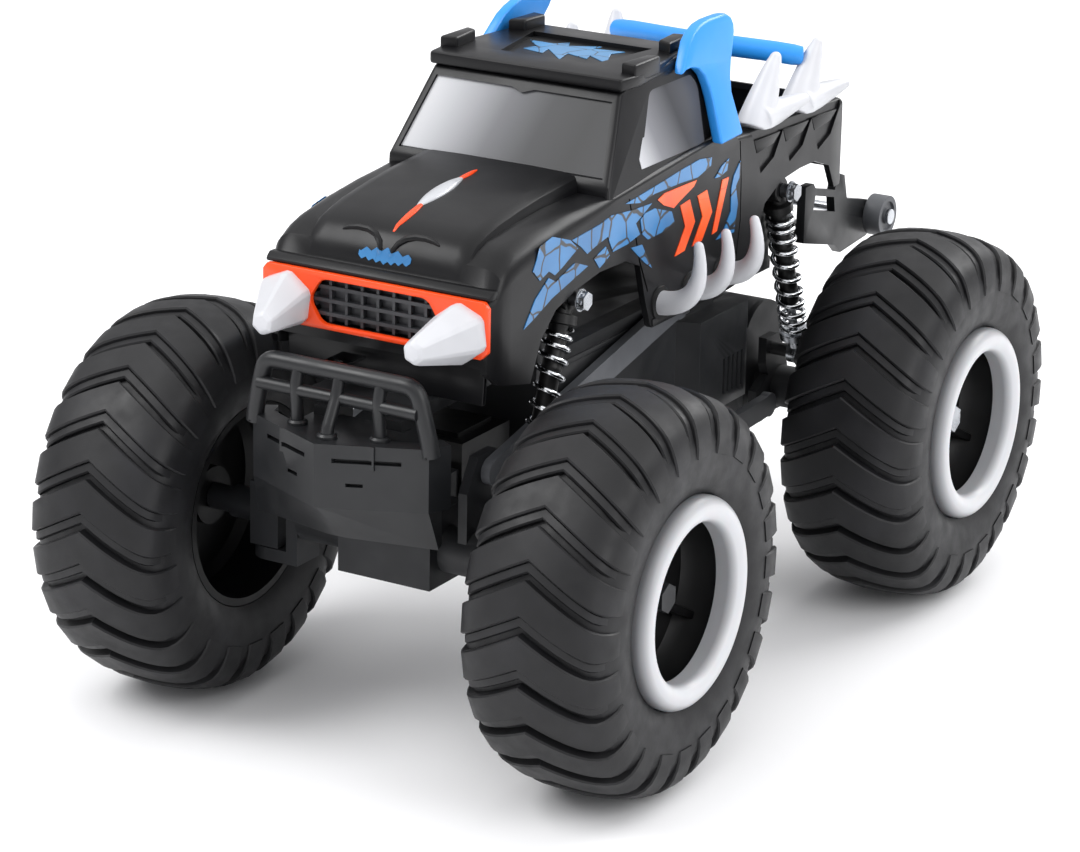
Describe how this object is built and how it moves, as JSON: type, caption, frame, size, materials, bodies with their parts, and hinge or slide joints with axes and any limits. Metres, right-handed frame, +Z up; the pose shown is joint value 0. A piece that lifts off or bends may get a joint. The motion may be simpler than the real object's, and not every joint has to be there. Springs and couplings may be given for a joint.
{
  "type": "remote control car",
  "caption": "Amphibious big-wheel remote control monster truck with sprung live axles, steering, a geared rear drive, bull bar, wheelie bar, horns and tusks.",
  "frame": {"origin": "on the ground under the middle of the vehicle, midway between the axles", "axes": "+Z up, -Y forwards, +X to the vehicle's left"},
  "size_m": [0.1992, 0.3134, 0.1992],
  "materials": {
    "tyre_rubber": "matt black moulded rubber with a chevron tread",
    "ring_plastic": "white moulded plastic with a soft gloss",
    "black_plastic": "black moulded plastic, fine spark-eroded grain",
    "shell_plastic": "satin black painted shell",
    "window_plastic": "silver-grey painted window panel",
    "orange_plastic": "bright orange moulded plastic",
    "blue_plastic": "sky blue moulded plastic",
    "white_plastic": "white moulded plastic",
    "blue_sticker": "printed vinyl sticker, blue with dark cracks",
    "orange_sticker": "printed vinyl sticker, orange",
    "emblem_sticker": "printed vinyl sticker, light blue",
    "grille_plastic": "dark grey moulded plastic",
    "hull_plastic": "dark grey moulded plastic, fine grain",
    "axle_plastic": "dark grey glass-filled nylon",
    "link_plastic": "mid-grey nylon",
    "bumper_plastic": "dark grey moulded plastic, slightly glossy on edges",
    "bright_steel": "turned bright steel",
    "spring_chrome": "chrome-plated spring wire",
    "gear_nylon": "natural nylon",
    "pinion_brass": "machined brass",
    "battery_wrap": "blue shrink wrap",
    "board_green": "green circuit board",
    "seal_rubber": "red silicone seal",
    "switch_plastic": "red moulded plastic",
    "horn_plastic": "white nylon"
  },
  "bodies": {
    "chassis": {"lower_hull": "hull_plastic", "hull_lid": "hull_plastic", "lid_seal": "seal_rubber", "battery_pack": "battery_wrap", "receiver_board": "board_green", "chassis_deck": "hull_plastic", "suspension_bolts": "bright_steel", "body_shell": "shell_plastic", "windshield": "window_plastic", "cab_windows": "window_plastic", "grille_frame": "orange_plastic", "grille": "grille_plastic", "headlight_tusks": "white_plastic", "hood_spear": "orange_plastic", "roof_horns": "blue_plastic", "roll_bar": "blue_plastic", "bed_spikes": "white_plastic", "side_tusks": "white_plastic", "side_decals_blue": "blue_sticker", "side_decals_orange": "orange_sticker", "emblems": "emblem_sticker", "front_bumper": "bumper_plastic", "bull_bar": "bumper_plastic", "bumper_clip": "spring_chrome", "wheelie_frame": "bumper_plastic"},
    "battery_door": {"battery_door": "hull_plastic"},
    "power_switch": {"power_switch": "switch_plastic"},
    "wheelie_wheels": {"wheelie_axle": "bright_steel", "wheelie_rollers": "link_plastic"},
    "front_axle": {"front_axle_housing": "axle_plastic", "front_links": "link_plastic", "kingpins": "bright_steel", "steering_servo": "black_plastic"},
    "servo_horn": {"servo_horn": "horn_plastic"},
    "tie_rod": {"tie_rod": "black_plastic"},
    "knuckle_left": {"knuckle_left": "axle_plastic"},
    "knuckle_right": {"knuckle_right": "axle_plastic"},
    "front_wheel_left": {"front_tyre_left": "tyre_rubber", "front_rim_left": "black_plastic", "front_ring_left": "ring_plastic"},
    "front_wheel_right": {"front_tyre_right": "tyre_rubber", "front_rim_right": "black_plastic", "front_ring_right": "ring_plastic"},
    "rear_axle": {"rear_axle_housing": "axle_plastic", "gearbox_cover": "axle_plastic", "rear_links": "link_plastic", "drive_motor": "bright_steel"},
    "rear_drive": {"rear_tyres": "tyre_rubber", "rear_rims": "black_plastic", "rear_rings": "ring_plastic", "rear_shaft": "bright_steel", "drive_gear": "gear_nylon"},
    "idler_gear": {"idler_gear": "gear_nylon"},
    "motor_pinion": {"motor_pinion": "pinion_brass"},
    "front_shock_bodies": {"front_shock_bodies": "black_plastic", "front_springs": "spring_chrome"},
    "front_shock_rods": {"front_shock_rods": "bright_steel"},
    "rear_shock_bodies": {"rear_shock_bodies": "black_plastic", "rear_springs": "spring_chrome"},
    "rear_shock_rods": {"rear_shock_rods": "bright_steel"}
  },
  "joints": [
    {"name": "front_suspension", "type": "hinge", "parent": "chassis", "child": "front_axle", "pos_m": [0, 0.02, 0.108], "axis": [1, 0, 0], "range_deg": [-6, 6], "stiffness_Nm_per_rad": 6.5, "springref_deg": 6.02},
    {"name": "rear_suspension", "type": "hinge", "parent": "chassis", "child": "rear_axle", "pos_m": [0, -0.012, 0.054], "axis": [-1, 0, 0], "range_deg": [-6, 6], "stiffness_Nm_per_rad": 6.5, "springref_deg": 6.02},
    {"name": "front_shock_swing", "type": "hinge", "parent": "chassis", "child": "front_shock_bodies", "pos_m": [0, -0.064, 0.132], "axis": [1, 0, 0], "range_deg": [-6.7, 6.7]},
    {"name": "front_shock_slide", "type": "slide", "parent": "front_shock_bodies", "child": "front_shock_rods", "axis": [0, -0.3304, -0.9439], "range_m": [-0.0093, 0.0093], "deforming": ["front_springs"]},
    {"name": "rear_shock_swing", "type": "hinge", "parent": "chassis", "child": "rear_shock_bodies", "pos_m": [0, 0.07, 0.135], "axis": [-1, 0, 0], "range_deg": [-1.4, 1.4]},
    {"name": "rear_shock_slide", "type": "slide", "parent": "rear_shock_bodies", "child": "rear_shock_rods", "axis": [0, 0.3162, -0.9487], "range_m": [-0.011, 0.011], "deforming": ["rear_springs"]},
    {"name": "steer_left", "type": "hinge", "parent": "front_axle", "child": "knuckle_left", "pos_m": [0.046, -0.0967, 0.06], "axis": [0, 0, 1], "range_deg": [-18, 18]},
    {"name": "steer_right", "type": "hinge", "parent": "front_axle", "child": "knuckle_right", "pos_m": [-0.046, -0.0967, 0.06], "axis": [0, 0, 1], "range_deg": [-18.5, 18.5]},
    {"name": "servo_turn", "type": "hinge", "parent": "front_axle", "child": "servo_horn", "pos_m": [0, -0.0687, 0.06], "axis": [0, 0, 1], "range_deg": [-18.5, 18.5]},
    {"name": "tie_rod_slide", "type": "slide", "parent": "front_axle", "child": "tie_rod", "axis": [1, 0, 0], "range_m": [-0.0045, 0.0045]},
    {"name": "front_left_spin", "type": "hinge", "parent": "knuckle_left", "child": "front_wheel_left", "pos_m": [0.0746, -0.0967, 0.06], "axis": [1, 0, 0], "continuous": true},
    {"name": "front_right_spin", "type": "hinge", "parent": "knuckle_right", "child": "front_wheel_right", "pos_m": [-0.0746, -0.0967, 0.06], "axis": [1, 0, 0], "continuous": true},
    {"name": "rear_drive_spin", "type": "hinge", "parent": "rear_axle", "child": "rear_drive", "pos_m": [0, 0.0967, 0.06], "axis": [1, 0, 0], "continuous": true},
    {"name": "idler_spin", "type": "hinge", "parent": "rear_axle", "child": "idler_gear", "pos_m": [0, 0.0967, 0.0744], "axis": [1, 0, 0], "continuous": true},
    {"name": "pinion_spin", "type": "hinge", "parent": "rear_axle", "child": "motor_pinion", "pos_m": [0, 0.0823, 0.0744], "axis": [1, 0, 0], "continuous": true},
    {"name": "wheelie_spin", "type": "hinge", "parent": "chassis", "child": "wheelie_wheels", "pos_m": [0, 0.147, 0.109], "axis": [1, 0, 0], "continuous": true},
    {"name": "battery_door_hinge", "type": "hinge", "parent": "chassis", "child": "battery_door", "pos_m": [0, 0.022, 0.0519], "axis": [1, 0, 0], "range_deg": [0, 75]},
    {"name": "power_switch_slide", "type": "slide", "parent": "chassis", "child": "power_switch", "axis": [1, 0, 0], "range_m": [0, 0.003]}
  ],
  "couplings": [
    {"joint": "front_shock_swing", "follows": "front_suspension", "ratio": 1.0879},
    {"joint": "front_shock_slide", "follows": "front_suspension", "m_per_rad": 0.087081},
    {"joint": "rear_shock_swing", "follows": "rear_suspension", "ratio": 0.18895},
    {"joint": "rear_shock_slide", "follows": "rear_suspension", "m_per_rad": 0.10334},
    {"joint": "steer_right", "follows": "steer_left", "ratio": 1},
    {"joint": "servo_turn", "follows": "steer_left", "ratio": -1},
    {"joint": "tie_rod_slide", "follows": "steer_left", "m_per_rad": -0.01395},
    {"joint": "idler_spin", "follows": "rear_drive_spin", "ratio": -3},
    {"joint": "pinion_spin", "follows": "rear_drive_spin", "ratio": 9}
  ]
}
